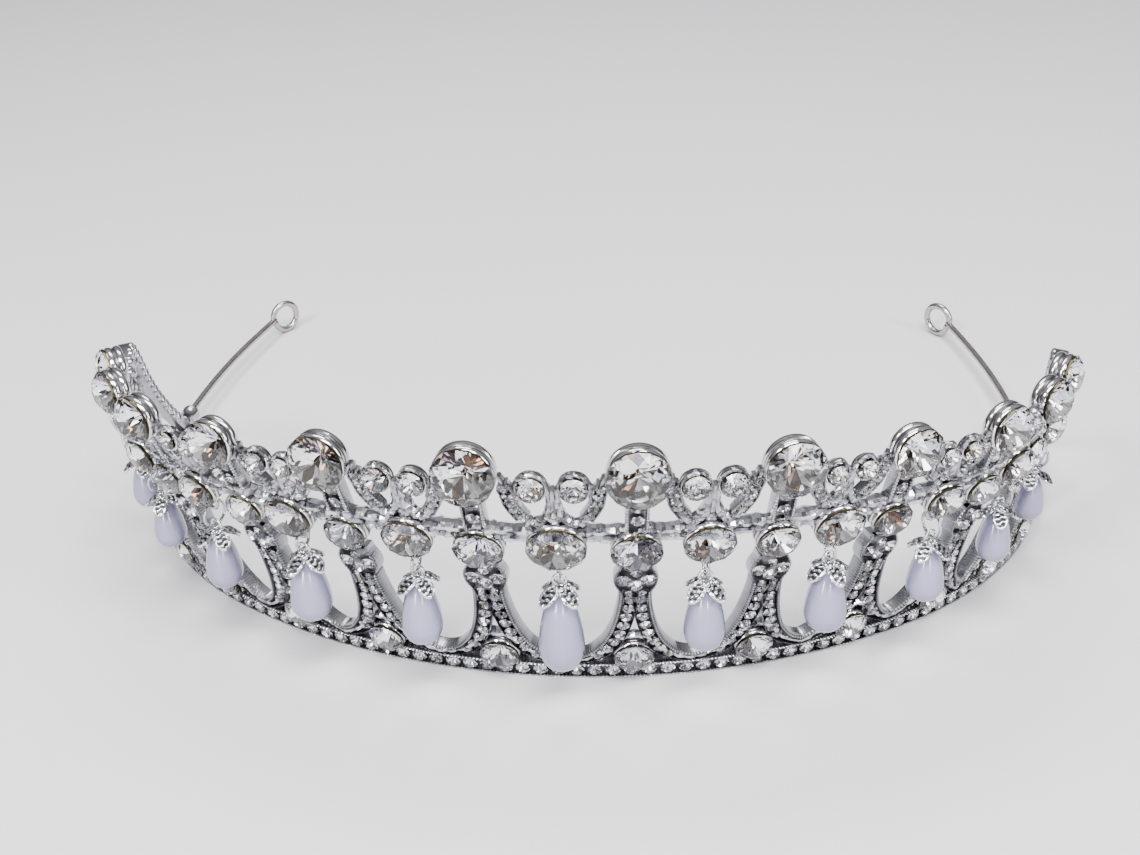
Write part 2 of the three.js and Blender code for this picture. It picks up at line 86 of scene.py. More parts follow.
def flare(s):
    """Lean of the wall at s, from the front's to the ends' by a smooth step."""
    share = smooth_step(*FLARE_FADES, np.abs(s))
    return FRONT_FLARE + (END_FLARE - FRONT_FLARE) * share


def wall(s, h, t):
    """Point at length s, height h and t outward: plan(s) + outward * (t + h tan flare) + up * h."""
    s, h, t = np.broadcast_arrays(np.asarray(s, float), h, t)
    x, y, turn = plan(s)
    out = t + h * np.tan(flare(s))
    return np.stack([x + np.sin(turn) * out, y - np.cos(turn) * out, h], axis=-1)


def directions(s):
    """Unit vectors along the wall and out of it at s: (cos, sin, 0) and (sin, -cos, 0) of its turn."""
    turn = plan(np.asarray(s, float))[2]
    zero = np.zeros_like(turn)
    return (np.stack([np.cos(turn), np.sin(turn), zero], axis=-1),
            np.stack([np.sin(turn), -np.cos(turn), zero], axis=-1))


def rail_height(s):
    """Height of the rail's middle: 29.7 mm at the front, less with the square of s."""
    return RAIL_HEIGHT - RAIL_DROP * np.asarray(s, float) ** 2


def facing_out(points, faces):
    """Turns all the faces round where the volume that they enclose comes out negative."""
    volume = 0.0
    for group in faces:
        first = points[group[:, 0]]
        for k in range(1, group.shape[1] - 1):
            across = np.cross(points[group[:, k]], points[group[:, k + 1]])
            volume += np.einsum("ij,ij->", first, across)
    return [group[:, ::-1] for group in faces] if volume < 0 else faces


def loft(rings, dark=0.0, closed=False):
    """A shell through equal rings (n, m, 3), each joined to the next by four-sided faces; open ends get a
    fan round their middle, and a closed run joins its last ring to its first. The painted shade, dark, is
    one number or one for each point or ring. Each group of faces has a finish."""
    n, m, _ = rings.shape
    last = n if closed else n - 1
    i, j = np.meshgrid(np.arange(last), np.arange(m), indexing="ij")
    a = i * m + j
    b = i * m + (j + 1) % m
    c = (i + 1) % n * m + (j + 1) % m
    d = (i + 1) % n * m + j
    faces = [np.stack([a, b, c, d], axis=-1).reshape(-1, 4)]
    points = rings.reshape(-1, 3)
    painted_shade = np.broadcast_to(dark, (n, m)).reshape(-1)
    if not closed:
        points = np.concatenate([points, [rings[0].mean(0), rings[-1].mean(0)]])
        painted_shade = np.concatenate([painted_shade, [painted_shade[0], painted_shade[-1]]])
        side = np.arange(m)
        following = (side + 1) % m
        base = (n - 1) * m
        start = np.stack([np.full(m, n * m), following, side], axis=-1)
        end = np.stack([np.full(m, n * m + 1), base + side, base + following], axis=-1)
        faces.append(np.concatenate([start, end]))
    return {"points": points, "faces": facing_out(points, faces), "dark": painted_shade,
            "smooth": True, "finish": [0] * len(faces)}


def wall_bar(s, h, profile, dark=0.0, closed=False):
    """A profile (a across, t outward) carried along the line (s, h) on the wall: each point is
    the line's point moved by a along the line's normal in the wall, and t through it."""
    if closed:
        ds = np.roll(s, -1) - np.roll(s, 1)
        dh = np.roll(h, -1) - np.roll(h, 1)
    else:
        ds, dh = np.gradient(s), np.gradient(h)
    run = np.hypot(ds, dh)
    across = np.broadcast_to(profile[..., 0], (len(s), profile.shape[-2]))
    out = np.broadcast_to(profile[..., 1], across.shape)
    at_s = s[:, None] - (dh / run)[:, None] * across
    at_h = h[:, None] + (ds / run)[:, None] * across
    return loft(wall(at_s, at_h, out), dark, closed)


SPAN_POINTS = 24


def smooth_line(corners, step):
    """Points a step apart on the smooth line through the corners, each span a cubic whose end
    slopes are half the step between its neighbours."""
    corners = np.asarray(corners, float)
    before = 2 * corners[:1] - corners[1:2]
    beyond = 2 * corners[-1:] - corners[-2:-1]
    padded = np.concatenate([before, corners, beyond])
    u = np.linspace(0, 1, SPAN_POINTS, endpoint=False)[:, None]
    p0, p1, p2, p3 = (padded[k:len(padded) - 3 + k][:, None, :] for k in range(4))
    spans = 0.5 * (2 * p1 + (p2 - p0) * u + (2 * p0 - 5 * p1 + 4 * p2 - p3) * u ** 2
                   + (3 * p1 - p0 - 3 * p2 + p3) * u ** 3)
    line = np.concatenate([spans.reshape(-1, corners.shape[1]), corners[-1:]])
    run = np.concatenate([[0], np.cumsum(np.linalg.norm(np.diff(line, axis=0), axis=1))])
    at = np.linspace(0, run[-1], max(3, int(round(run[-1] / step)) + 1))
    return np.stack([np.interp(at, run, line[:, k]) for k in range(corners.shape[1])], axis=-1)


def lengths(s, h):
    """Length along the line (s, h) up to each of its points, the sum of its steps."""
    return np.concatenate([[0], np.cumsum(np.hypot(np.diff(s), np.diff(h)))])


def beads(s, h):
    """0 to 1 along a line: the size of the half sine of each bead."""
    return np.abs(np.sin(np.pi * lengths(s, h) / BEAD_PITCH))


BEAD_HEIGHT = 0.3
RIM_SHOULDER = 0.25
RIM_CROWN = 0.08
RIM_WIDTHS = (0.42, 0.42)


def channel(half, bead, depths, rims):
    """The section of a beaded channel, once round: back, beaded rim, floor, beaded rim. The half
    width and the bead may vary along the line. The depths of back, floor and rims are measured
    outward, and each rim has its own width."""
    half = np.atleast_1d(half)[:, None]
    bead = np.atleast_1d(bead)[:, None]
    back, floor, front = depths
    # Share of the rim's width from its outer side, distance outward, and share of the bead.
    rise = [(0, back, 0), (0, front - RIM_SHOULDER, 0), (0.24, front, 0.5),
            (0.52, front + RIM_CROWN, 1), (0.86, front, 0.5), (1, floor, 0)]
    steps = [(-1, share * rims[0], out, raised) for share, out, raised in rise]
    steps += [(1, share * rims[1], out, raised) for share, out, raised in rise[::-1]]
    side, inset, out, raised = (np.array(column, float)[None, :] for column in zip(*steps))
    across = side * (half - inset)
    outward = out + BEAD_HEIGHT * raised * (bead - 0.5)
    across, outward = np.broadcast_arrays(across, outward)
    return np.stack([across, outward], axis=-1)


# For each point of a channel's section: its painted shade, darkest on the channel's floor, and how much of
# it is rim.
CHANNEL_SHADE = np.array([0.25, 0.2, 0.12, 0.0, 0.55, 1.0, 1.0, 0.55, 0.0, 0.12, 0.2, 0.25])
RIM_POINTS = np.array([0, 0.5, 1, 1, 1, 0, 0, 1, 1, 1, 0.5, 0])
# Painted shade between the beads of a rim.
BETWEEN_BEADS_SHADE = 0.75


def beaded_bar(s, h, half, depths, rims=RIM_WIDTHS, painted_shade=1.0, on_rims=0.0):
    """A beaded channel along the line (s, h). Its painted shade is a share of its section's own, and on its
    rims painted shade between the beads of 0.75 times what the bead leaves of 1, plus the darkening that
    on_rims says."""
    bead = beads(s, h)
    between = BETWEEN_BEADS_SHADE * RIM_POINTS * (1 - bead[:, None])
    dark = painted_shade * CHANNEL_SHADE + between + on_rims * RIM_POINTS
    return wall_bar(s, h, channel(half, bead, depths, rims), dark)


class Value:
    """A node's output. Arithmetic on it adds the Math node that does the same."""

    def __init__(self, tree, socket):
        self.tree = tree
        self.socket = socket

    def maths(self, operation, first, second):
        node = self.tree.nodes.new("ShaderNodeMath")
        node.operation = operation
        for slot, item in zip(node.inputs, (first, second)):
            if isinstance(item, Value):
                self.tree.links.new(item.socket, slot)
            else:
                slot.default_value = item
        return Value(self.tree, node.outputs[0])

    def __add__(self, other):
        return self.maths("ADD", self, other)

    def __mul__(self, other):
        return self.maths("MULTIPLY", self, other)

    def __sub__(self, other):
        return self.maths("SUBTRACT", self, other)


class Finish:
    """One material, with its Principled shader and a way to add any other node."""

    def __init__(self, name, **constants):
        self.material = bpy.data.materials.new(name)
        self.material.use_nodes = True
        self.tree = self.material.node_tree
        self.shader = self.tree.nodes["Principled BSDF"]
        for key, value in constants.items():
            self.shader.inputs[key.replace("_", " ")].default_value = value

    def node(self, kind, settings=(), inputs=(), output=0):
        """Adds a node: its settings first, then the values or links of its inputs."""
        node = self.tree.nodes.new(kind)
        for key, value in dict(settings).items():
            if key == "stops":
                for element, (place, colour) in zip(node.color_ramp.elements, value):
                    element.position, element.color = place, colour
                for place, colour in value[2:]:
                    node.color_ramp.elements.new(place).color = colour
            elif key == "interpolation":
                node.color_ramp.interpolation = value
            else:
                setattr(node, key, value)
        for key, value in dict(inputs).items():
            if isinstance(value, Value):
                self.tree.links.new(value.socket, node.inputs[key])
            else:
                node.inputs[key].default_value = value
        return Value(self.tree, node.outputs[output])

    def drive(self, name, value):
        self.tree.links.new(value.socket, self.shader.inputs[name])

    def place(self):
        return self.node("ShaderNodeTexCoord", output="Object")

    def noise(self, scale, detail=2.0, roughness=0.5):
        return self.node("ShaderNodeTexNoise", inputs={
            "Vector": self.place(), "Scale": scale, "Detail": detail, "Roughness": roughness})

    def attribute(self, name):
        return self.node("ShaderNodeAttribute", {"attribute_name": name}, output="Fac")

    def mix(self, factor, first, second):
        return self.node("ShaderNodeMix", {"data_type": "RGBA"}, {0: factor, 6: first, 7: second}, 2)

    def bump(self, height, strength, distance):
        self.drive("Normal", self.node("ShaderNodeBump", inputs={
            "Height": height, "Strength": strength, "Distance": distance}))


def silver(name, bright, dark, rough, grain, relief):
    """White plating, darkened by painted shade where the recess attribute gives it, with random patches of
    tone and a cast grain.
    """
    finish = Finish(name, Metallic=1.0)
    patches = finish.noise(420.0, 3.0)
    recess = finish.attribute("recess")
    # Painted shade from the recess attribute, plus random patches of tone, mixes the bright colour towards
    # the dark one.
    painted_shade = finish.node("ShaderNodeMath", {"operation": "ADD", "use_clamp": True},
                          {0: recess * 0.95, 1: (patches - 0.42) * 0.5})
    finish.drive("Base Color", finish.mix(painted_shade, bright, dark))
    finish.drive("Roughness", painted_shade * 0.3 + patches * 0.12 + rough)
    finish.bump(finish.noise(grain, 3.0, 0.6), relief, 0.00012)
    return finish.material


cast_silver = silver("cast_silver", (0.52, 0.52, 0.55, 1), (0.045, 0.043, 0.05, 1), 0.1, 1500.0, 0.35)


SHARPEST_SMOOTH = math.radians(50)


def make_piece(name, shells, finishes, body="tiara", replaces=()):
    """One mesh of all the shells, at the origin, riding on its body. Each point carries its painted shade
    as recess, and each face a random number as facet."""
    mesh = bpy.data.meshes.new(name)
    points = np.concatenate([shell["points"] for shell in shells]) * MM
    offsets = np.cumsum([0] + [len(shell["points"]) for shell in shells])
    groups = [(group + offset, shell, finish) for shell, offset in zip(shells, offsets)
              for group, finish in zip(shell["faces"], shell["finish"])]
    sizes = np.concatenate([np.full(len(group), group.shape[1]) for group, _, _ in groups])
    mesh.vertices.add(len(points))
    mesh.vertices.foreach_set("co", points.astype(np.float32).ravel())
    mesh.loops.add(int(sizes.sum()))
    mesh.loops.foreach_set("vertex_index",
                           np.concatenate([group.ravel() for group, _, _ in groups]).astype(np.int32))
    mesh.polygons.add(len(sizes))
    mesh.polygons.foreach_set("loop_start", (np.cumsum(sizes) - sizes).astype(np.int32))
    finish = np.concatenate([np.full(len(group), finish) for group, _, finish in groups])
    mesh.polygons.foreach_set("material_index", finish.astype(np.int32))
    mesh.update(calc_edges=True)
    mesh.validate()
    recess = mesh.attributes.new("recess", "FLOAT", "POINT")
    dark = np.concatenate([np.broadcast_to(shell["dark"], len(shell["points"])) for shell in shells])
    recess.data.foreach_set("value", dark.astype(np.float32))
    facet = mesh.attributes.new("facet", "FLOAT", "FACE")
    facet.data.foreach_set("value", np.random.default_rng(len(sizes)).random(len(sizes)).astype(np.float32))
    mesh.set_sharp_from_angle(angle=SHARPEST_SMOOTH)
    smooth = np.concatenate([np.full(len(group), shell["smooth"]) for group, shell, _ in groups])
    mesh.polygons.foreach_set("use_smooth", smooth)
    piece = bpy.data.objects.new(name, mesh)
    bpy.context.scene.collection.objects.link(piece)
    for material in finishes:
        mesh.materials.append(material)
    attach(piece, body)
    if replaces:
        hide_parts(*replaces)


BAND_DEPTHS = (-1.3, 0.25, 1.05)
# Share of the channel's painted shade on the band.
BAND_SHADE = 0.8
band_s = np.arange(-WALL_END, WALL_END + BEAD_STEP, BEAD_STEP)
band_h = np.full(len(band_s), BAND_HEIGHT / 2)
band = beaded_bar(band_s, band_h, BAND_HEIGHT / 2, BAND_DEPTHS, painted_shade=BAND_SHADE)

# Distance in from the side of the widest bay, and height, down one arm of its U.
BAY_EDGE = [(0.75, 18.6), (0.85, 16.5), (1.25, 13.4), (1.8, 10.8),
            (2.4, 8.9), (3.3, 6.9), (4.7, 5.3), (6.4, 4.2)]
BAY_FOOT = 3.7
BAY_LEAST = 1.2
INSET_KEPT = 0.42
EDGE_HALF = 1.22
EDGE_SLIMMER = 0.35
EDGE_WIDENS = (3.9, 6.5)
EDGE_DEPTHS = (-1.2, 0.35, 0.95)
EDGE_RIMS = (0.16, 0.55)
# The rims of the bay edges are made darker by a further 0.35.
EDGE_RIM_DARKENING = 0.35
bay_edges = []
bay_lines = []
for number, width in enumerate(BAY_WIDTHS):
    narrow = INSET_KEPT + (1 - INSET_KEPT) * width / BAY_WIDTHS[0]
    arm = [(min(inset * narrow, width / 2 - BAY_LEAST) - width / 2, height) for inset, height in BAY_EDGE]
    corners = arm + [(0.0, BAY_FOOT)] + [(-x, height) for x, height in arm[::-1]]
    line = smooth_line(corners, BEAD_STEP)
    for side in (-1, 1) if number else (1,):
        s = side * BAY_PLACES[number] + line[:, 0]
        h = line[:, 1]
        half = EDGE_HALF - EDGE_SLIMMER * (1 - smooth_step(*EDGE_WIDENS, h))
        bay_edges.append(beaded_bar(s, h, half, EDGE_DEPTHS, EDGE_RIMS, on_rims=EDGE_RIM_DARKENING))
        bay_lines.append((s, h, number))

make_piece("base_and_bays", [band] + bay_edges, [cast_silver], replaces=("frame",))

# The columns between the bays.
# Each is part of the same casting: a neck behind the head stone, a plate behind the foot
# stone, and a stalk up to the large top stone, with channels for small stones.
HEAD_SIZES = np.array([6.2, 5.4, 5.2, 5.0, 4.6, 4.4])
FOOT_SIZES = np.array([5.2, 5.0, 4.6, 4.4, 4.2, 4.0])
TOP_SIZES = np.array([7.4, 7.1, 6.2, 6.2, 6.0, 6.0])
TOP_HEIGHT = 40.3
TOP_DROP = 0.28
# Height from the rail, and half width at the front column.
NECK = np.array([(-13.4, 1.6), (-11.5, 1.75), (-9.6, 2.5), (-8.0, 2.6), (-6.4, 2.0), (-5.6, 1.9)])
NECK_DEPTHS = (-1.15, 0.2, 0.9)
NECK_RIMS = (0.3, 0.3)
# Shares of the channel's painted shade on the neck and the stalk.
NECK_SHADE = 0.6
STALK_FOOT = 0.6
STALK_IN_CUP = 0.3
STALK_HALF = 1.3
STALK_DEPTHS = (-1.0, 0.3, 0.85)
STALK_SHADE = 0.8
# Height, and half width at the front column.
PLATE = [(2.0, 4.4), (4.4, 3.9), (6.2, 3.0), (8.0, 1.9)]
PLATE_STEP = 0.5
PLATE_SECTION = np.array([(-1, -1.0), (-1, -0.5), (1, -0.5), (1, -1.0)])
# The plate behind the foot stone is painted dark all over as shade.
PLATE_SHADE = 0.9


def top_height(number):
    """Height of a top stone: 40.3 mm less 0.28 mm times the square of its place from the middle."""
    return TOP_HEIGHT - TOP_DROP * (np.asarray(number, float) - 0.5) ** 2


def slimness(number, kept):
    """Width of a column as a share of the front one's: a part kept, the rest as its head stone."""
    return kept + (1 - kept) * HEAD_SIZES[number - 1] / HEAD_SIZES[0]


column_parts = []
for number in range(1, 7):
    rail = float(rail_height(COLUMN_PLACES[number - 1]))
    slim = slimness(number, 0.55)
    neck_line = smooth_line(NECK + (rail, 0), BEAD_STEP)
    cup_foot = top_height(number) - TOP_SIZES[number - 1] / 2
    stalk = np.arange(rail + STALK_FOOT, cup_foot + STALK_IN_CUP, BEAD_STEP)
    plate = smooth_line(PLATE, PLATE_STEP)
    spread = np.stack([plate[:, 1] * slim, np.ones(len(plate))], axis=-1)
    section = PLATE_SECTION[None] * spread[:, None]
    for side in (-1, 1):
        s = side * COLUMN_PLACES[number - 1]
        column_parts += [
            beaded_bar(np.full(len(neck_line), s), neck_line[:, 0], neck_line[:, 1] * slim,
                       NECK_DEPTHS, NECK_RIMS, NECK_SHADE),
            beaded_bar(np.full(len(stalk), s), stalk, STALK_HALF, STALK_DEPTHS, painted_shade=STALK_SHADE),
            wall_bar(np.full(len(plate), s), plate[:, 0], section, PLATE_SHADE)]

make_piece("columns", column_parts, [cast_silver])

# The rail and the cut bars.
# Two cut strands run side by side right round the front on a core painted dark as the shade between them, a
# bowed bar crosses each column over its foot stone, and a bar lies in the foot of each bay. The real ones
# are cast in one with the columns and cut bright by hand, so they glitter.
RAIL_END = COLUMN_PLACES[-1] + 9.6
STRAND_RISE = 0.68
STRAND_SIDES = 8
CUT_STEP = 0.5
CUT_RANGE = (0.8, 1.12)
CORE = np.array([(-0.75, -1.0), (-0.75, 0.3), (0.75, 0.3), (0.75, -1.0)])
# The core between the strands is painted dark as shade.
CORE_SHADE = 0.95
CROSS_HEIGHT = 9.1
CROSS_HALF = 2.0
CROSS_BOW = 0.16
FOOT_BAR = (0.31, 0.69)
bright_cut = silver("bright_cut_silver", (0.74, 0.74, 0.77, 1), (0.04, 0.04, 0.05, 1), 0.04, 900.0, 0.25)


def strand(s, h, radius, out, thick, seed, closed=False):
    """A hand-cut strand: an eight-sided bar whose corners each lie up to a third nearer or a
    quarter further, so that its flat faces turn every way and glitter. The radius may vary."""
    angle = (np.arange(STRAND_SIDES) + 0.5) * 2 * np.pi / STRAND_SIDES
    chance = np.random.default_rng(seed)
    jitter = chance.uniform(*CUT_RANGE, (len(s), STRAND_SIDES)) * chance.uniform(*CUT_RANGE, (len(s), 1))
    reach = np.broadcast_to(radius, len(s))[:, None] * jitter
    deep = np.broadcast_to(thick, len(s))[:, None] * reach
    section = np.stack([reach * np.cos(angle), out + deep * np.sin(angle)], axis=-1)
    # Painted shade: darker where the corners are drawn in, and on the side of negative across, the
    # underside of a strand that runs level with s rising.
    dark = np.clip(3.0 * (0.95 - jitter), 0, 0.75) + 0.3 * (np.cos(angle) < -0.3)
    shell = wall_bar(s, h, section, dark, closed)
    return {**shell, "smooth": False}


rail_s = np.arange(-RAIL_END, RAIL_END, CUT_STEP)
rail_h = rail_height(rail_s)
rail_parts = [strand(rail_s, rail_h + rise, radius=0.68, out=-0.1, thick=1.9, seed=seed)
              for rise, seed in ((STRAND_RISE, 1), (-STRAND_RISE, 2))]
rail_parts.append(wall_bar(rail_s, rail_h, CORE, CORE_SHADE))
cross = np.linspace(-CROSS_HALF, CROSS_HALF, 9)
for number, place in enumerate(np.concatenate([COLUMN_PLACES, -COLUMN_PLACES])):
    rail_parts.append(strand(place + cross, CROSS_HEIGHT - CROSS_BOW * cross ** 2,
                             radius=0.6, out=0.1, thick=1.6, seed=60 + number))
for s, h, number in bay_lines:
    middle = slice(*(int(len(s) * share) for share in FOOT_BAR), 4)
    rail_parts.append(strand(s[middle], h[middle] - 0.1, radius=0.5, out=0.45, thick=1.2, seed=80 + number))
make_piece("rail", rail_parts, [bright_cut])

# The cups of the large stones.
# Turned cups of polished metal with a rolled rim, a groove under it painted dark as shade, and a tapered
# body, soldered to the rail, the necks and the stalks.
CUP_LIP = 0.12
CUP_DEPTH = 2.7
CUP_SIDES = 40
STONE_OUT = 1.8
BAY_SIZES = np.array([7.2, 6.3, 6.3, 5.4, 5.4, 5.4])
BAY_BELOW_RAIL = 1.7
HEAD_BELOW_RAIL = 2.9
HEAD_SINKS = 0.35
FOOT_HEIGHT = 4.7
FOOT_SINKS = 0.5
SHORT_CUP_DEPTH = 2.35


def turned(profile, sides=CUP_SIDES):
    """A profile of (radius, height) turned about Z, as rings for the loft."""
    profile = np.asarray(profile, float)
    angle = np.linspace(0, 2 * np.pi, sides, endpoint=False)
    ring = np.stack([np.cos(angle), np.sin(angle)], axis=-1)
    flat = profile[:, None, :1] * ring[None]
    height = np.broadcast_to(profile[:, None, 1:], flat.shape[:2] + (1,))
    return np.concatenate([flat, height], axis=-1)


def set_on_wall(points, s, h, t, size=1.0, lean=None, spin=0.0):
    """Copies of a shape on the wall: its Z axis faces outward with the lean, its Y axis up, so
    a point is centre + size * (x across + y up + z face), after a spin about Z."""
    given = np.broadcast_arrays(s, h, t, size, spin)
    s, h, t, size, spin = (np.atleast_1d(value).astype(float) for value in given)
    lean = flare(s) if lean is None else np.broadcast_to(lean, s.shape).astype(float)
    across, out = directions(s)
    face = out * np.cos(lean)[:, None] - UP * np.sin(lean)[:, None]
    up = UP * np.cos(lean)[:, None] + out * np.sin(lean)[:, None]
    x = points[None, :, 0] * np.cos(spin)[:, None] - points[None, :, 1] * np.sin(spin)[:, None]
    y = points[None, :, 0] * np.sin(spin)[:, None] + points[None, :, 1] * np.cos(spin)[:, None]
    z = np.broadcast_to(points[None, :, 2], x.shape)
    shape = x[..., None] * across[:, None] + y[..., None] * up[:, None] + z[..., None] * face[:, None]
    return wall(s, h, t)[:, None] + size[:, None, None] * shape


def copies(shell, places):
    """One shell for all the copies of a shape, whose points are given for each copy."""
    count, size, _ = places.shape
    steps = (np.arange(count) * size)[:, None, None]
    faces = [(group[None] + steps).reshape(-1, group.shape[1]) for group in shell["faces"]]
    dark = np.tile(np.broadcast_to(shell["dark"], size), count)
    return {**shell, "points": places.reshape(-1, 3), "faces": faces, "dark": dark}


def cup(diameter, deepest=CUP_DEPTH):
    """A closed cup about Z, as a turned profile of (radius, height): up its grooved side to a
    rolled rim, and down a cone inside to its floor. What is below the deepest is pressed flat."""
    rim = diameter / 2 + CUP_LIP
    profile = [(0.3 * rim, -CUP_DEPTH), (0.86 * rim, -CUP_DEPTH), (0.95 * rim, -CUP_DEPTH + 0.15),
               (rim, -2.3), (1.01 * rim, -2.0), (rim, -1.75), (0.94 * rim, -1.62),
               (0.94 * rim, -1.35), (rim, -1.2), (1.02 * rim, -0.85), (rim, -0.5),
               (rim - 0.14, -0.38), (rim - 0.28, -0.42), (rim - 0.36, -0.6), (0.74 * rim, -1.3),
               (0.42 * rim, 0.15 - CUP_DEPTH)]
    # Painted shade in the groove under the rim, down the cone inside the cup and on its foot.
    dark = np.array([0.4, 0.3, 0.1, 0, 0, 0.1, 0.9, 0.9, 0.1, 0, 0, 0, 0.2, 0.8, 1, 1])[:, None]
    shell = loft(turned(profile), dark)
    shell["points"][:, 2] = np.maximum(shell["points"][:, 2], -deepest)
    return shell


polished_silver = silver("polished_silver", (0.66, 0.64, 0.65, 1), (0.03, 0.028, 0.03, 1),
                         0.03, 260.0, 0.12)

# Name of the node or None, place along the wall, height, distance outward, size and lean.
big_stones = []
for side, word in ((-1, "left"), (1, "right")):
    for number in range(1, 7):
        s = side * COLUMN_PLACES[number - 1]
        lean = float(flare(s))
        head = float(rail_height(s)) - HEAD_BELOW_RAIL
        big_stones.append((f"top_stone_{word}_{number}", s, top_height(number),
                           STONE_OUT, TOP_SIZES[number - 1], 0.0))
        big_stones.append((None, s, head, STONE_OUT - HEAD_SINKS, HEAD_SIZES[number - 1], lean))
        big_stones.append((None, s, FOOT_HEIGHT, STONE_OUT - FOOT_SINKS, FOOT_SIZES[number - 1], lean))
        if number < 6:
            s = side * BAY_PLACES[number]
            big_stones.append((f"bay_stone_{word}_{number}", s, float(rail_height(s)) - BAY_BELOW_RAIL,
                               STONE_OUT, BAY_SIZES[number], float(flare(s))))
big_stones.append(("bay_stone_centre", 0.0, RAIL_HEIGHT - BAY_BELOW_RAIL,
                   STONE_OUT, BAY_SIZES[0], FRONT_FLARE))
cup_shells = []
for name, s, h, t, size, lean in big_stones:
    shape = cup(size, CUP_DEPTH if name else SHORT_CUP_DEPTH)
    cup_shells.append(copies(shape, set_on_wall(shape["points"], s, h, t, 1.0, lean)))
make_piece("stone_cups", cup_shells, [polished_silver])

# The large stones.
# Round cut glass with a silvered back and a gilt edge where the backing ends. The crown is clear and domed,
# and the mirror facets behind it are painted white, grey, dark and brown as reflections and glints.
CROWN = 0.42
PAVILION = -0.66
TABLE = 0.48
STAR = 0.78
GIRDLE = (0.03, -0.07)
CULET_RING = 0.5
STONE_SPREAD = 1.05
crystal = Finish("clear_crystal", Roughness=0.0, IOR=1.55, Transmission_Weight=1.0, Coat_Weight=0.0)
crystal.drive("Base Color", crystal.mix(crystal.noise(300.0), (1.0, 1.0, 1.0, 1), (0.97, 0.97, 0.99, 1)))

# A facet's random number picks its painted reflection: each holds from its own number up to the next.
FOIL_REFLECTIONS = [(0.0, (0.95, 0.95, 0.97, 1)), (0.34, (0.6, 0.6, 0.66, 1)), (0.5, (0.06, 0.05, 0.06, 1)),
               (0.585, (0.085, 0.045, 0.026, 1)), (0.605, (0.93, 0.91, 0.88, 1)),
               (0.86, (0.3, 0.29, 0.36, 1)), (0.975, (0.5, 0.36, 0.25, 1))]
foil = Finish("silvered_back", Metallic=1.0)
foil.drive("Base Color", foil.node(
    "ShaderNodeValToRGB", {"stops": FOIL_REFLECTIONS, "interpolation": "CONSTANT"},
    {"Fac": foil.attribute("facet")}))
foil.drive("Roughness", foil.noise(900.0) * 0.1 + 0.02)

gilt = Finish("gilt_edge", Metallic=1.0)
gilt.drive("Base Color", gilt.mix(gilt.noise(700.0), (0.13, 0.11, 0.055, 1), (0.04, 0.036, 0.024, 1)))
gilt.drive("Roughness", gilt.noise(1200.0) * 0.2 + 0.2)


def corners_round(count, shift, radius, height):
    """The corners of a regular polygon about Z, turned by a share of one side."""
    angle = 2 * np.pi * (np.arange(count) + shift) / count
    return np.stack([radius * np.cos(angle), radius * np.sin(angle), np.full(count, height)], axis=-1)


def brilliant():
    """A round cut stone of radius 1 about Z: eight-sided table, star, kite and girdle facets
    above, and long and short facets down to a point below. Girdle on z = 0."""
    eight = np.arange(8)
    sixteen = np.arange(16)
    points = np.concatenate([
        corners_round(8, 0, TABLE, CROWN), corners_round(8, 0.5, STAR, 0.64 * CROWN),
        corners_round(16, 0, 1.0, GIRDLE[0]), corners_round(16, 0, 1.0, GIRDLE[1]),
        corners_round(8, 0.5, CULET_RING, 0.55 * PAVILION), [[0.0, 0.0, PAVILION]]])
    table, star, edge, under, lower, tip = 0, 8, 16, 32, 48, 56
    back = (eight - 1) % 8
    following = (eight + 1) % 8
    after = (sixteen + 1) % 16
    tables = [table + eight[None]]
    crown = [np.stack([table + eight, star + eight, table + following], axis=-1),
             np.stack([star + eight, edge + 2 * eight, edge + 2 * eight + 1], axis=-1),
             np.stack([star + eight, edge + 2 * eight + 1, edge + (2 * eight + 2) % 16], axis=-1)]
    kites = [np.stack([table + eight, star + back, edge + 2 * eight, star + eight], axis=-1)]
    girdle = [np.stack([edge + sixteen, under + sixteen, under + after, edge + after], axis=-1)]
    short = [np.stack([lower + eight, under + 2 * eight + 1, under + 2 * eight], axis=-1),
             np.stack([lower + eight, under + (2 * eight + 2) % 16, under + 2 * eight + 1], axis=-1)]
    mains = [np.stack([under + 2 * eight, lower + back, np.full(8, tip), lower + eight], axis=-1)]
    faces = tables + crown + kites + girdle + short + mains
    kind = [0] * 5 + [2] + [1] * 3
    return points, faces, kind


stone_points, stone_faces, stone_kinds = brilliant()


def brilliant_shells(s, h, t, size, lean, spin):
    """Stones at places on the wall. Their facets are in groups, each with its finish, and all
    on the same points, so that each stone stays one closed mesh."""
    places = set_on_wall(stone_points, s, h, t, STONE_SPREAD * np.asarray(size) / 2, lean, spin)
    faces = facing_out(stone_points, stone_faces)
    shell = {"points": stone_points, "faces": faces, "dark": 0.0, "smooth": False, "finish": stone_kinds}
    return copies(shell, places)


STONE_FINISHES = [crystal.material, foil.material, gilt.material]
spins = np.random.default_rng(7).uniform(0, np.pi / 4, len(big_stones))
fixed_stones = []
for (name, s, h, t, size, lean), spin in zip(big_stones, spins):
    shell = brilliant_shells(s, h, t, size, lean, spin)
    if name is None:
        fixed_stones.append(shell)
    else:
        make_piece(name + "_cut", [shell], STONE_FINISHES, replaces=(name,))
make_piece("head_and_foot_stones", fixed_stones, STONE_FINISHES)

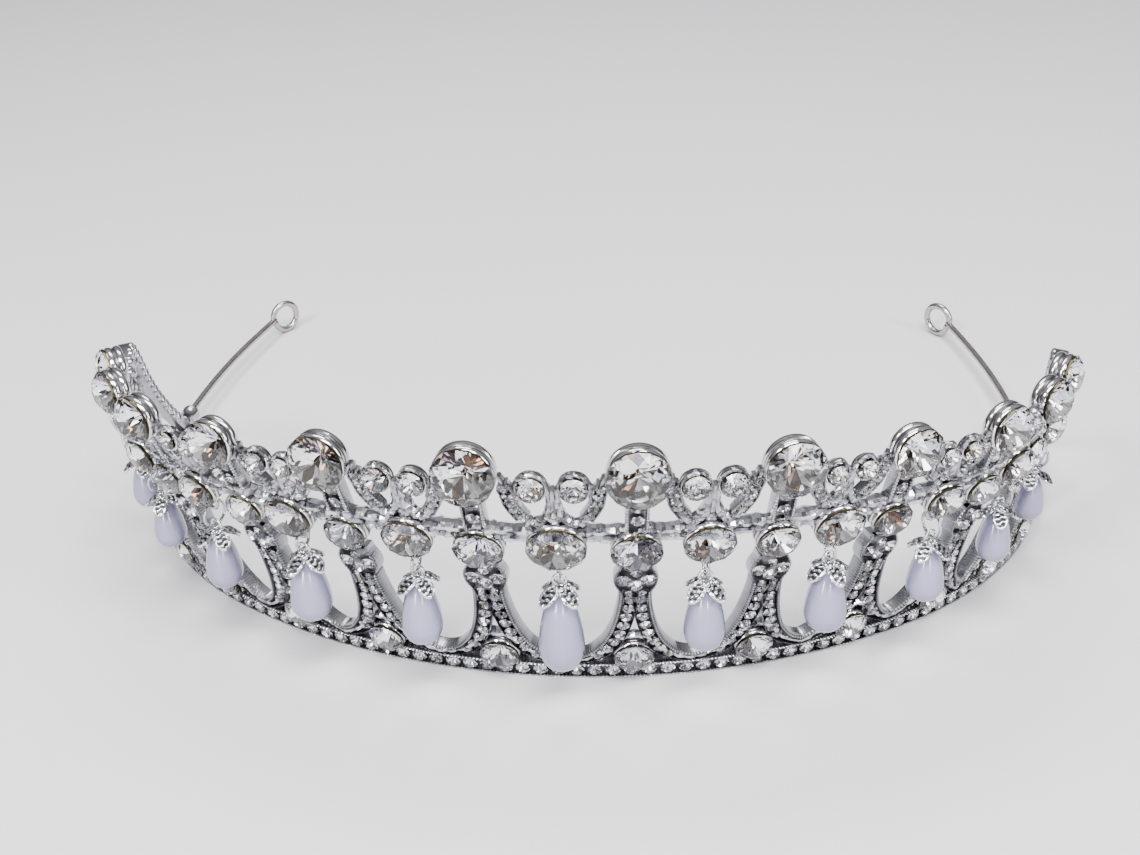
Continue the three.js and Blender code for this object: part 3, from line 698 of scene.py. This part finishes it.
# The knots over the bays.
# Each is two oval rings side by side with a round stone in the top of each, a post between
# them, and ties with small stones that run up to the cups of the top stones. All are cast.
KNOT_STONE = 3.2
KNOT_OUT = 1.0
KNOT_SHARE = 0.62
KNOT_GAP = 0.5
RING_INSET = 0.35
RING_POINTS = 38
RING_FOOT = 1.9
RING_HEAD = 1.9
STONE_BELOW_TOP = 2.3
KNOT_CUP_WALL = 0.35
KNOT_CUP_DEPTH = 1.5
TIE_HALF = 0.85
TIE_NARROWS = 0.4
TIE_DEPTHS = (-0.8, 0.3, 0.65)
TIE_RIMS = (0.3, 0.3)
TIE_STONES = 5
POST_HALF = 0.45
POST_SPREADS = 0.45
knot_parts = []
tie_parts = []
knot_stones = []
tie_stones = []
for number, width in enumerate(BAY_WIDTHS):
    loop = KNOT_SHARE * width / 4 - KNOT_GAP
    wide = loop - RING_INSET
    stone_h = float(top_height(number + 0.5)) - STONE_BELOW_TOP
    size = min(KNOT_STONE, 2 * (loop - KNOT_CUP_WALL))
    for side in (-1, 1) if number else (1,):
        s = side * BAY_PLACES[number]
        bottom = float(rail_height(s)) + RING_FOOT
        middle = (bottom + stone_h + RING_HEAD) / 2
        tall = (stone_h + RING_HEAD - bottom) / 2
        angle = np.linspace(0, 2 * np.pi, RING_POINTS, endpoint=False)
        for way in (-1, 1):
            ring_s = s + way * loop + wide * np.sin(angle)
            ring_h = middle - tall * np.cos(angle)
            knot_parts.append(strand(ring_s, ring_h, radius=0.55 + 0.2 * np.cos(angle), out=-0.15,
                                     thick=1.5, seed=20 + 4 * number + way, closed=True))
            knot_stones.append((s + way * loop, stone_h, KNOT_OUT, size))
            # The tie ends at the cup of the top stone on its own side.
            neighbour = min(max(number + (way * side > 0) - 1, 0), 5)
            tie_end = s + way * (width / 2 - TOP_SIZES[neighbour] / 2 - 0.1)
            edge = s + way * (loop + wide)
            tie = smooth_line([(edge - way * 0.7, bottom + 0.9), (edge + way * 0.35, middle - 0.9),
                               (edge + way * 0.65, stone_h - 1.3), (edge + way * 0.9, stone_h - 0.1),
                               (tie_end, stone_h + 0.9)], BEAD_STEP)
            half = TIE_HALF - TIE_NARROWS * smooth_step(0.8, 1, np.linspace(0, 1, len(tie)))
            tie_parts.append(beaded_bar(tie[:, 0], tie[:, 1], half, TIE_DEPTHS, TIE_RIMS))
            run = np.linspace(6, len(tie) - 9, TIE_STONES).astype(int)
            tie_stones += [(place, height, 0.65, 1.5) for place, height in tie[run]]
            brow = np.linspace(tie[-14], tie[-1] + (way * 0.4, 0.2), 6) + (0, 0.75)
            knot_parts.append(strand(brow[:, 0], brow[:, 1], radius=0.42, out=-0.1, thick=1.9,
                                     seed=40 + number))
        post = np.arange(bottom - 0.3, stone_h + 0.2, CUT_STEP)
        spread = POST_HALF + POST_SPREADS * smooth_step(stone_h - 3.2, bottom, post)
        knot_parts.append(strand(np.full(len(post), s), post, radius=spread, out=0.0, thick=0.9 / spread,
                                 seed=number))
make_piece("knots", knot_parts, [cast_silver])
make_piece("knot_ties", tie_parts, [cast_silver])

knot_cups = []
for s, h, t, size in knot_stones:
    shape = cup(size, KNOT_CUP_DEPTH)
    shape["points"][:, :2] *= (size + 2 * KNOT_CUP_WALL) / (size + 2 * CUP_LIP)
    knot_cups.append(copies(shape, set_on_wall(shape["points"], s, h, t, 1.0, 0.0)))
make_piece("knot_cups", knot_cups, [polished_silver])
s, h, t, size = np.array(knot_stones).T
spin = np.random.default_rng(11).uniform(0, np.pi / 4, len(s))
make_piece("knot_stones", [brilliant_shells(s, h, t, size, 0.0, spin)], STONE_FINISHES)

# The ends of the wall.
# Past the last column the casting closes in a scroll that sweeps down to the band, with a
# post under it. A barrel soldered to the tip of the band grips the spring wire.
SCROLL_HALF = 1.0
SCROLL_DEPTHS = (-0.9, 0.45, 0.85)
POST_PLACE = 10.6
POST_REACH = (2.0, 29.5)
WIRE_HEIGHT = 3.4
# Distance of the scroll's line past the last column, and its height.
SCROLL = np.array([(1.6, 28.6), (3.4, 29.8), (8.6, 30.1), (12.5, 26.6),
                   (17.8, 19.5), (24.7, 11.2), (32.0, 3.2)])
# Radius and length of the barrel, and radius and height of a small stone's collet.
BARREL = [(0.72, -1.0), (1.4, -1.0), (1.52, -0.8), (1.52, -0.3), (1.4, -0.2), (1.4, 2.7),
          (1.52, 2.8), (1.52, 3.3), (1.4, 3.5), (0.72, 3.5)]
COLLET = [(0.3, -0.9), (0.42, -1.35), (0.75, -1.42), (0.95, -1.2), (1.02, 0.3), (1.0, 0.78),
          (0.86, 0.86), (0.7, 0.6), (0.3, 0.5)]
# Painted shade at the collet's foot and inside it under the stone.
COLLET_SHADE = np.array([1, 0.8, 0.1, 0, 0.3, 0, 0, 0.6, 1.0])[:, None]


def laid(shape, x_way, y_way, z_way):
    """A shape's points with its axes laid along three directions: x, y and z times each."""
    return shape[..., :1] * x_way + shape[..., 1:2] * y_way + shape[..., 2:] * z_way


scroll_line = smooth_line(SCROLL + (COLUMN_PLACES[-1], 0), BEAD_STEP)
end_parts = []
scroll_stones = []
for side in (-1, 1):
    s, h = side * scroll_line[:, 0], scroll_line[:, 1]
    end_parts.append(beaded_bar(s, h, SCROLL_HALF, SCROLL_DEPTHS))
    post = np.arange(*POST_REACH, CUT_STEP)
    end_parts.append(strand(np.full(len(post), side * (COLUMN_PLACES[-1] + POST_PLACE)), post,
                            radius=0.75, out=-0.1, thick=1.3, seed=5))
    scroll_stones += [(side * place, height, 0.7, 1.7) for place, height in scroll_line[8:-20:17]]
    along, out = directions(side * WALL_END)
    centre = wall(side * WALL_END, 0.0, 0.0) + WIRE_HEIGHT * UP
    end_parts.append(loft(centre + laid(turned(BARREL, 24), out, UP, side * along), 0.1))
collet = loft(turned(COLLET, 10), COLLET_SHADE)
s, h = np.array(scroll_stones)[:, :2].T
end_parts.append(copies(collet, set_on_wall(collet["points"], s, h, 0.0)))
make_piece("scroll_ends", end_parts, [cast_silver])

# The rows of very small stones.
# Chatons of 1.3 to 2.2 mm with silvered backs, glued into the channels of the band, the legs,
# the ties, the stalks and the scrolls, and in a cluster below each head stone.
BAND_STONE = 2.2
BAND_STONE_OUT = 0.92
BAND_PITCH = 2.4
EDGE_STONE = 1.8
EDGE_STONE_OUT = 0.8
EDGE_PITCH = 1.85
EDGE_STONES_START = 1.6
EDGE_STONES_REACH = 0.36
EDGE_STONES_ASIDE = -0.2
STALK_STONE = 1.9
STALK_STONE_OUT = 0.72
STALK_STONES_RISE = (2.6, 4.9)
STALK_STONE_BELOW_CUP = 1.0
# Aside, height from the rail, outward, size, and whether its size follows the column's width.
CLUSTER = [(-1.5, -8.7, 0.9, 2.2, True), (1.5, -8.7, 0.9, 2.2, True), (0, -7.3, 0.9, 1.5, False),
           (0, -9.7, 0.95, 2.1, True), (-0.75, -11.4, 0.85, 1.3, False), (0.75, -11.4, 0.85, 1.3, False)]
CHATON_TABLE = (0.5, 0.36)
CHATON_DEPTH = -0.6
eight = np.arange(8)
after = (eight + 1) % 8
chaton_points = np.concatenate([corners_round(8, 0.5, *CHATON_TABLE), corners_round(8, 0.5, 1.0, 0.0),
                                [[0.0, 0.0, CHATON_DEPTH]]])
chaton_faces = facing_out(chaton_points, [
    eight[None], np.stack([eight, 8 + eight, 8 + after, after], axis=-1),
    np.stack([8 + eight, np.full(8, 16), 8 + after], axis=-1)])
chaton = {"points": chaton_points, "faces": chaton_faces, "dark": 0.0, "smooth": False, "finish": [0, 0, 1]}

band_end = WALL_END - BAND_HEIGHT / 2
rows = [(s, BAND_HEIGHT / 2, BAND_STONE_OUT, BAND_STONE)
        for s in np.linspace(-band_end, band_end, int(2 * band_end / BAND_PITCH))]
for s, h, _ in bay_lines:
    run = lengths(s, h)
    reach = run[-1] * EDGE_STONES_REACH
    ds, dh = np.gradient(s), np.gradient(h)
    step = np.hypot(ds, dh)
    aside_s = s - EDGE_STONES_ASIDE * dh / step
    aside_h = h + EDGE_STONES_ASIDE * ds / step
    for start, way in ((EDGE_STONES_START, 1), (run[-1] - EDGE_STONES_START, -1)):
        at = start + way * np.arange(0, reach, EDGE_PITCH)
        rows += [(place, height, EDGE_STONE_OUT, EDGE_STONE)
                 for place, height in zip(np.interp(at, run, aside_s), np.interp(at, run, aside_h))]
for side in (-1, 1):
    for number in range(1, 7):
        s = side * COLUMN_PLACES[number - 1]
        rail = float(rail_height(s))
        highest = float(top_height(number)) - TOP_SIZES[number - 1] / 2 - STALK_STONE_BELOW_CUP
        slim = slimness(number, 0.7)
        rows += [(s + aside * slim, rail + rise, outward, size * slim if follows else size)
                 for aside, rise, outward, size, follows in CLUSTER]
        rows += [(s, height, STALK_STONE_OUT, STALK_STONE)
                 for height in (rail + STALK_STONES_RISE[0], min(rail + STALK_STONES_RISE[1], highest))]
rows = np.array(rows + scroll_stones + tie_stones)
spin = np.random.default_rng(3).uniform(0, np.pi / 4, len(rows))
places = set_on_wall(chaton_points, rows[:, 0], rows[:, 1], rows[:, 2], rows[:, 3] / 2, None, spin)
make_piece("small_stones", [copies(chaton, places)], [crystal.material, foil.material])

# The drops.
# A wire ring hangs in an eye under each bay stone and carries a cap of four grained leaves
# with rolled edges, glued to a satin imitation pearl.
EYE_RADIUS = 0.95
EYE_WIRE = 0.55
EYE_BACK = 1.35
CUP_WALL = 0.45
CUP_TAPER = 0.9
CUP_SINKS = 0.3
LINK_WIRE = 0.42
LINK_PLAY = 0.56
CAP_WALL = 0.4
PEARL_GAP = 0.25
# Width and length of the pearl, length of the jump ring and turn of the leaves, from the middle.
DROPS = [(6.0, 12.0, 3.2, 0.79), (5.4, 9.4, 3.6, 0.7), (5.6, 9.4, 3.4, 0.2),
         (5.0, 8.2, 4.2, 0.5), (4.6, 7.4, 4.2, 0.9), (4.4, 7.0, 4.2, 0.3)]
# Shares of the pearl's radius and length, from its top end to its foot.
PEARL = [(0.02, 1.0), (0.34, 0.962), (0.62, 0.84), (0.84, 0.62), (0.98, 0.36),
         (0.97, 0.2), (0.75, 0.06), (0.4, 0.008), (0.02, 0.0)]
PEARL_SIDES = 48
# Radius, for a pearl 6 mm wide, and height of the cap's dome, and of the beads round it.
DOME = [(0.2, 0.5), (0.55, 0.52), (0.8, 0.4), (1.15, 0.05),
        (1.35, -0.35), (1.1, -0.3), (0.6, 0.05), (0.2, 0.1)]
# Painted shade round the eye at the dome's top and under the dome.
DOME_SHADE = np.array([1.0, 0.7, 0.3, 0.2, 0.3, 1, 1, 1])[:, None]
DOT = [(0.02, -0.24), (0.17, -0.17), (0.24, 0.0), (0.17, 0.17), (0.02, 0.24)]
LEAF_BEND = 1.15
leaf_silver = silver("leaf_silver", (0.84, 0.84, 0.87, 1), (0.03, 0.03, 0.035, 1), 0.07, 2600.0, 0.3)
ring_steel = silver("ring_steel", (0.5, 0.5, 0.52, 1), (0.08, 0.08, 0.09, 1), 0.1, 900.0, 0.1)

# Painted shade: the pearl's colour goes darker and bluer where it is seen edge on, with a random mottle.
pearl_satin = Finish("satin_pearl", Roughness=0.24, IOR=1.6, Coat_Roughness=0.12)
facing = pearl_satin.node("ShaderNodeLayerWeight", inputs={"Blend": 0.5}, output=1)
edge_shade_and_mottle = facing * facing * 1.3 + pearl_satin.noise(180.0, 3.0) * 0.16
pearl_satin.drive("Base Color", pearl_satin.mix(edge_shade_and_mottle, (0.25, 0.245, 0.37, 1), (0.07, 0.07, 0.15, 1)))
pearl_satin.drive("Coat Weight", pearl_satin.noise(250.0) * 0.3 + 0.75)
pearl_satin.bump(pearl_satin.noise(3200.0, 2.0), 0.06, 0.00005)


def tube_ring(radius, wire):
    """A ring of round wire about Z, as rings of points: radius + wire / 2 * (cos, sin) of a roll."""
    angle = np.linspace(0, 2 * np.pi, 40, endpoint=False)[:, None]
    roll = np.linspace(0, 2 * np.pi, 10, endpoint=False)[None]
    reach = radius + wire / 2 * np.cos(roll)
    rise = wire / 2 * np.sin(roll) + 0 * angle
    return np.stack([reach * np.cos(angle), reach * np.sin(angle), rise], axis=-1)


def leaf(length, width, bend):
    """One leaf from the middle outwards: a flat closed section, wide in the middle and pointed at
    its tip, carried down an arc, with an edge raised as two bell curves and grains between."""
    u = np.linspace(0, 1, 40)[:, None]
    v = np.concatenate([np.linspace(-1, 1, 15), np.linspace(1, -1, 8)[1:-1]])[None]
    top = (np.arange(21) < 15)[None]
    half = width / 2 * (0.3 + 0.7 * np.sin(np.pi * (0.1 + 0.72 * u)) ** 1.3) * np.sqrt(1.002 - u ** 4)
    side_edge = np.exp(-((np.abs(v) - 0.82) / 0.19) ** 2)
    tip_edge = np.exp(-((u - 0.91) / 0.08) ** 2)
    rolled = np.clip(side_edge + tip_edge, 0, 1)
    grain = np.cos(2 * np.pi * (4.5 * u + 0.25 * np.sign(v))) * np.cos(3 * (np.abs(v) - 0.32))
    grain = np.clip(grain + 0.1, 0, 1)
    raised = 0.2 + 0.3 * rolled + 0.1 * grain * (1 - rolled)
    lift = np.where(top, raised, 0.06) * np.sqrt(np.clip(1.03 - u ** 8, 0.02, 1))
    angle = bend * u
    reach = length / bend * np.sin(angle) + 0.35
    fall = -length / bend * (1 - np.cos(angle))
    droop = -0.16 * width * v ** 2
    x = reach + (lift + droop) * np.sin(angle)
    z = fall + (lift + droop) * np.cos(angle)
    rings = np.stack([x + 0 * v, half * v, z + 0 * v], axis=-1)
    # Painted shade in the hollows between the rolled edge and the grains, and on the leaf's underside.
    dark = np.where(top, np.clip(1.3 * (1 - rolled) * (1 - 1.5 * grain), 0, 1), 0.3) + 0 * u
    return rings, dark


def cap(top, along, out, pearl, yaw):
    """The shells of one leaf cap: an eye, a dome, four leaves and eight beads round it."""
    eye = laid(tube_ring(EYE_RADIUS * 0.85, 0.4), along, UP, out)
    dome = turned(DOME, 24) * np.array([pearl / 6, pearl / 6, 1.0])
    shells = [loft(top + UP * (CAP_WALL + EYE_RADIUS * 0.95) + eye, 0.1, closed=True),
              loft(top + laid(dome, along, out, UP), DOME_SHADE)]
    leaf_rings, leaf_dark = leaf(0.28 * pearl + 1.75, 0.2 * pearl + 1.35, LEAF_BEND)
    for quarter in range(4):
        angle = yaw + quarter * np.pi / 2
        way = along * math.cos(angle) - out * math.sin(angle)
        cross = -along * math.sin(angle) - out * math.cos(angle)
        shells.append(loft(top + UP * 0.12 + laid(leaf_rings, way, cross, UP), leaf_dark))
    for dot in range(8):
        angle = yaw + (dot + 0.5) * np.pi / 4
        centre = top + (along * math.cos(angle) - out * math.sin(angle)) * pearl * 0.13 + UP * 0.5
        shells.append(loft(centre + turned(DOT, 8)))
    return shells


for number, (pearl, length, ring, yaw) in enumerate(DROPS):
    for side, word in ((-1, "left"), (1, "right")) if number else ((1, "centre"),):
        label = f"{word}_{number}" if number else word
        body = f"drop_{label}"
        s = side * BAY_PLACES[number]
        lean = float(flare(s))
        along, out = directions(s)
        # How far the eye's middle lies below the stone's, down the lean: it sinks into the cup.
        below = (BAY_SIZES[number] / 2 + CUP_WALL) * CUP_TAPER - CUP_SINKS + EYE_RADIUS
        eye = wall(s, float(rail_height(s)) - BAY_BELOW_RAIL, STONE_OUT)
        eye = eye - out * (EYE_BACK + below * math.sin(lean))
        eye = eye - UP * (below * math.cos(lean) - EYE_BACK * math.sin(lean))
        top = eye - UP * (ring - LINK_PLAY + EYE_RADIUS + CAP_WALL)

        eye_rings = eye + laid(tube_ring(EYE_RADIUS, EYE_WIRE), along, UP, out)
        make_piece(f"eye_{label}", [loft(eye_rings, 0.1, closed=True)], [ring_steel])

        reach = (ring - LINK_PLAY) / 2
        link = eye - UP * reach + laid(tube_ring(reach, LINK_WIRE), out, UP, along)
        make_piece(f"wire_ring_{label}", [loft(link, 0.05, closed=True)], [ring_steel],
                   body, (f"jump_ring_{label}",))
        make_piece(f"cap_{label}", cap(top, along, out, pearl, side * yaw), [leaf_silver],
                   body, (f"leaf_cap_{label}",))

        outline = smooth_line(PEARL, 0.03) * np.array([pearl / 2, length]) - np.array([0, length])
        shape = top - UP * PEARL_GAP + laid(turned(outline[::-1], PEARL_SIDES), along, out, UP)
        make_piece(f"satin_pearl_{label}", [loft(shape)], [pearl_satin.material],
                   body, (f"pearl_{label}",))

# The spring wires.
# Drawn steel wire held in the barrels, straight towards the back and bent into an upright
# loop at its end, where a hair pin or a ribbon goes through.
wire_steel = silver("wire_steel", (0.5, 0.46, 0.45, 1), (0.2, 0.18, 0.18, 1), 0.18, 500.0, 0.05)
WIRE = 1.2
WIRE_LENGTH = 42.0
WIRE_IN_BARREL = 0.5
WIRE_BOW = 1.2
LOOP_RADIUS = 2.7
LOOP_TURN = math.radians(32)
LOOP_CLOSES = 0.97
LOOP_DRIFT = 0.32


def round_wire(path, first, second):
    """Rings of points round a path: path + radius * (cos first + sin second)."""
    roll = np.linspace(0, 2 * np.pi, 12, endpoint=False)[None, :, None]
    return path[:, None] + WIRE / 2 * (np.cos(roll) * first[:, None] + np.sin(roll) * second[:, None])


for side, word in ((-1, "left"), (1, "right")):
    end = side * (WALL_END + WIRE_LENGTH)
    run = np.linspace(side * (WALL_END + WIRE_IN_BARREL), end, 60)
    sideways = directions(run)[1]
    bow = WIRE_BOW * np.sin(np.pi * np.linspace(0, 1, 60)[:, None])
    path = wall(run, 0.0, 0.0) + WIRE_HEIGHT * UP + bow * sideways
    along, out = directions(end)
    along = side * along
    along, out = (along * math.cos(LOOP_TURN) - out * math.sin(LOOP_TURN),
                  out * math.cos(LOOP_TURN) + along * math.sin(LOOP_TURN))
    bend = np.linspace(-np.pi * LOOP_CLOSES, np.pi * LOOP_CLOSES, 60)[:, None]
    radial = np.cos(bend) * along + np.sin(bend) * UP
    loop = path[-1] + along * LOOP_RADIUS * 0.95 + LOOP_RADIUS * radial + LOOP_DRIFT * bend / np.pi * out
    shells = [loft(round_wire(path, sideways, np.broadcast_to(UP, path.shape)), 0.1),
              loft(round_wire(loop, radial, np.broadcast_to(out, loop.shape)), 0.1)]
    make_piece(f"spring_wire_{word}", shells, [wire_steel], replaces=(f"end_wire_{word}",))

# The camera, the floor and the light.
# The camera stands where the photograph's did: 30 degrees above the table in front.
IMAGE_WIDTH = 1140
FOCAL_PIXELS = 1400
CAMERA_PLACE = (0.01432, -0.14938, 0.12546)
CAMERA_YAW = -0.08725
CAMERA_PITCH = -0.5236
CAMERA_ROLL = -0.03304
camera = bpy.data.objects.new("camera", bpy.data.cameras.new("camera"))
bpy.context.scene.collection.objects.link(camera)
bpy.context.scene.camera = camera
camera.data.sensor_fit = "HORIZONTAL"
camera.data.sensor_width = 36
camera.data.lens = 36 * FOCAL_PIXELS / IMAGE_WIDTH
camera.data.clip_start = 0.005
level = math.cos(CAMERA_PITCH)
forward = Vector((math.sin(CAMERA_YAW) * level, math.cos(CAMERA_YAW) * level, math.sin(CAMERA_PITCH)))
right = Vector((math.cos(CAMERA_YAW), -math.sin(CAMERA_YAW), 0))
upward = right.cross(forward)
tilted = right * math.cos(CAMERA_ROLL) + upward * math.sin(CAMERA_ROLL)
upward = upward * math.cos(CAMERA_ROLL) - right * math.sin(CAMERA_ROLL)
turned_camera = Matrix((tilted, upward, -forward)).transposed().to_4x4()
camera.matrix_world = Matrix.Translation(CAMERA_PLACE) @ turned_camera

reach = 3
floor_mesh = bpy.data.meshes.new("floor")
floor_mesh.from_pydata([(-reach, -reach, 0), (reach, -reach, 0), (reach, reach, 0), (-reach, reach, 0)],
                       [], [(0, 1, 2, 3)])
floor = bpy.data.objects.new("floor", floor_mesh)
bpy.context.scene.collection.objects.link(floor)
paper = Finish("pale_paper", Roughness=0.7)
paper.drive("Base Color", paper.mix(paper.noise(6.0), (0.6, 0.6, 0.62, 1), (0.64, 0.64, 0.66, 1)))
floor_mesh.materials.append(paper.material)


def soft_light(name, place, target, size, watts):
    """A rectangular area light at a place, turned to a target."""
    light = bpy.data.lights.new(name, "AREA")
    light.shape = "RECTANGLE"
    light.size, light.size_y = size
    light.energy = watts
    lamp = bpy.data.objects.new(name, light)
    bpy.context.scene.collection.objects.link(lamp)
    way = Vector(target) - Vector(place)
    lamp.matrix_world = Matrix.Translation(place) @ way.to_track_quat("-Z", "Y").to_matrix().to_4x4()


soft_light("key", (-0.3, -0.4, 0.5), (0, 0.01, 0.02), (0.14, 0.14), 5.0)
soft_light("front", (0.1, -0.28, 0.6), (0, 0.01, 0.02), (0.4, 0.2), 8.0)
soft_light("side", (0.5, -0.25, 0.3), (0, 0.01, 0.02), (0.1, 0.3), 2.5)
soft_light("low_left", (-0.17, -0.34, 0.06), (0, 0.0, 0.02), (0.035, 0.15), 0.8)
soft_light("low_right", (0.15, -0.36, 0.05), (0, 0.0, 0.02), (0.02, 0.12), 0.4)
soft_light("top", (-0.05, 0.25, 0.6), (0, 0.02, 0.02), (0.4, 0.2), 3.0)

# The room is dark at the horizon and pale above, which the metal mirrors. The camera itself
# sees a plain pale backdrop.
world = bpy.data.worlds.new("room")
world.use_nodes = True
bpy.context.scene.world = world
sky = world.node_tree
height = sky.nodes.new("ShaderNodeSeparateXYZ")
gradient = sky.nodes.new("ShaderNodeValToRGB")
gradient.color_ramp.elements[0].color = (0.03, 0.03, 0.035, 1)
gradient.color_ramp.elements[1].position = 0.75
gradient.color_ramp.elements[1].color = (0.5, 0.5, 0.52, 1)
backdrop = sky.nodes.new("ShaderNodeBackground")
backdrop.inputs["Color"].default_value = (0.62, 0.62, 0.64, 1)
chosen = sky.nodes.new("ShaderNodeMixShader")
sky.links.new(sky.nodes.new("ShaderNodeTexCoord").outputs["Generated"], height.inputs[0])
sky.links.new(height.outputs["Z"], gradient.inputs["Fac"])
sky.links.new(gradient.outputs["Color"], sky.nodes["Background"].inputs["Color"])
sky.links.new(sky.nodes.new("ShaderNodeLightPath").outputs["Is Camera Ray"], chosen.inputs["Fac"])
sky.links.new(sky.nodes["Background"].outputs[0], chosen.inputs[1])
sky.links.new(backdrop.outputs[0], chosen.inputs[2])
sky.links.new(chosen.outputs[0], sky.nodes["World Output"].inputs["Surface"])
